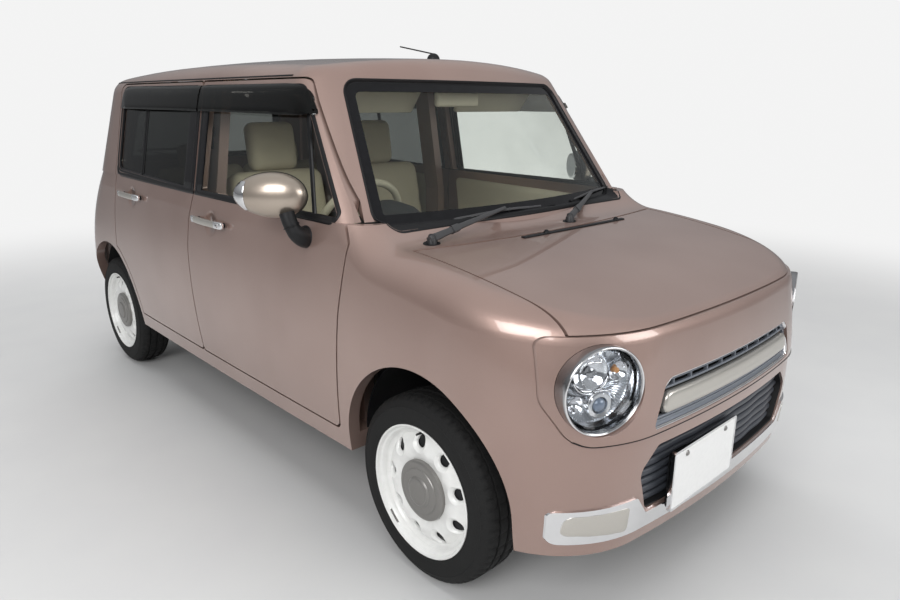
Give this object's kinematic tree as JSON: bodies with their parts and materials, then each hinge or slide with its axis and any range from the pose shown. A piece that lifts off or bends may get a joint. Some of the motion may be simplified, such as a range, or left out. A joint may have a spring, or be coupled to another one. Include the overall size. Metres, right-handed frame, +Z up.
{
  "type": "boxy kei hatchback car",
  "caption": "Small upright five-door hatchback with round headlamps in a raised face panel, opening doors, bonnet and tailgate, steered front wheels and a furnished cabin.",
  "frame": {"origin": "on the ground under the middle of the car's box", "axes": "+Z up, -Y towards the nose, +X towards the car's left side"},
  "size_m": [1.7202, 3.3964, 1.5504],
  "materials": {
    "body_paint": "metallic rose-beige paint under clear coat",
    "window_glass": "green tinted safety glass",
    "chassis_black": "satin black chassis paint",
    "black_plastic": "grained black moulding",
    "exhaust_steel": "dull pressed steel",
    "silver_trim": "satin silver moulding",
    "dark_grille": "dark blue-grey moulding",
    "chrome": "bright chrome",
    "lamp_glass": "clear lamp lens",
    "plate_white": "blank white plate",
    "dark_interior": "dark grained moulding",
    "cream_plastic": "cream moulding",
    "seat_fabric": "woven cream upholstery",
    "red_lens": "red lamp lens",
    "mirror_shell": "champagne satin shell",
    "tyre_rubber": "black tyre rubber",
    "wheel_paint": "white wheel enamel"
  },
  "bodies": {
    "root": {"cabin_shell": "body_paint", "floor_pan": "chassis_black", "wheel_liners": "black_plastic", "front_fender_right": "body_paint", "front_fender_left": "body_paint", "front_bumper": "body_paint", "front_panel": "body_paint", "upper_grille": "silver_trim", "lower_grille": "dark_grille", "bumper_garnish": "chrome", "headlamp_housings": "chrome", "headlamp_lenses": "lamp_glass", "front_plate": "plate_white", "windshield": "window_glass", "wipers": "black_plastic", "cowl_panel": "body_paint", "engine_block": "chassis_black", "dashboard": "dark_interior", "steering_wheel": "cream_plastic", "front_seats": "seat_fabric", "rear_seat": "seat_fabric", "sun_visors": "cream_plastic", "rear_bumper": "body_paint", "tail_lamps": "red_lens", "front_suspension": "chassis_black", "rear_axle": "chassis_black", "exhaust": "exhaust_steel", "fuel_tank": "chassis_black", "roof_aerial": "black_plastic"},
    "bonnet": {"hood": "body_paint"},
    "tailgate_body": {"tailgate": "body_paint", "tailgate_glass": "window_glass"},
    "door_front_right": {"front_door_right": "body_paint", "front_door_glass_right": "window_glass", "door_mirror_right": "mirror_shell"},
    "door_front_left": {"front_door_left": "body_paint", "front_door_glass_left": "window_glass", "door_mirror_left": "mirror_shell"},
    "door_rear_right": {"rear_door_right": "body_paint", "rear_door_glass_right": "window_glass"},
    "door_rear_left": {"rear_door_left": "body_paint", "rear_door_glass_left": "window_glass"},
    "steer_right": {"knuckle_front_right": "chassis_black"},
    "steer_left": {"knuckle_front_left": "chassis_black"},
    "roll_front_right": {"tyre_front_right": "tyre_rubber", "wheel_front_right": "wheel_paint"},
    "roll_front_left": {"tyre_front_left": "tyre_rubber", "wheel_front_left": "wheel_paint"},
    "roll_rear_right": {"tyre_rear_right": "tyre_rubber", "wheel_rear_right": "wheel_paint"},
    "roll_rear_left": {"tyre_rear_left": "tyre_rubber", "wheel_rear_left": "wheel_paint"}
  },
  "joints": [
    {"name": "bonnet_hinge", "type": "hinge", "parent": "root", "child": "bonnet", "pos_m": [0, -1.075, 0.92626], "axis": [-1, 0, 0], "range_deg": [0, 55]},
    {"name": "tailgate_hinge", "type": "hinge", "parent": "root", "child": "tailgate_body", "pos_m": [0, 1.54426, 1.348], "axis": [1, 0, 0], "range_deg": [0, 78]},
    {"name": "front_right_door_hinge", "type": "hinge", "parent": "root", "child": "door_front_right", "pos_m": [-0.72331, -0.755, 0.605], "axis": [0, 0, 1], "range_deg": [0, 65]},
    {"name": "front_left_door_hinge", "type": "hinge", "parent": "root", "child": "door_front_left", "pos_m": [0.72331, -0.755, 0.605], "axis": [0, 0, -1], "range_deg": [0, 65]},
    {"name": "rear_right_door_hinge", "type": "hinge", "parent": "root", "child": "door_rear_right", "pos_m": [-0.72691, 0.284, 0.605], "axis": [0, 0, 1], "range_deg": [0, 60]},
    {"name": "rear_left_door_hinge", "type": "hinge", "parent": "root", "child": "door_rear_left", "pos_m": [0.72691, 0.284, 0.605], "axis": [0, 0, -1], "range_deg": [0, 60]},
    {"name": "steering_right", "type": "hinge", "parent": "root", "child": "steer_right", "pos_m": [-0.575, -1.1325, 0.279], "axis": [0, 0, 1], "range_deg": [-34, 34]},
    {"name": "steering_left", "type": "hinge", "parent": "root", "child": "steer_left", "pos_m": [0.575, -1.1325, 0.279], "axis": [0, 0, 1], "range_deg": [-34, 34]},
    {"name": "roll_front_right_axle", "type": "hinge", "parent": "steer_right", "child": "roll_front_right", "pos_m": [-0.62, -1.1325, 0.279], "axis": [1, 0, 0], "continuous": true},
    {"name": "roll_front_left_axle", "type": "hinge", "parent": "steer_left", "child": "roll_front_left", "pos_m": [0.62, -1.1325, 0.279], "axis": [1, 0, 0], "continuous": true},
    {"name": "roll_rear_right_axle", "type": "hinge", "parent": "root", "child": "roll_rear_right", "pos_m": [-0.62, 1.2675, 0.279], "axis": [1, 0, 0], "continuous": true},
    {"name": "roll_rear_left_axle", "type": "hinge", "parent": "root", "child": "roll_rear_left", "pos_m": [0.62, 1.2675, 0.279], "axis": [1, 0, 0], "continuous": true}
  ],
  "couplings": [
    {"joint": "steering_left", "follows": "steering_right", "ratio": 1}
  ]
}
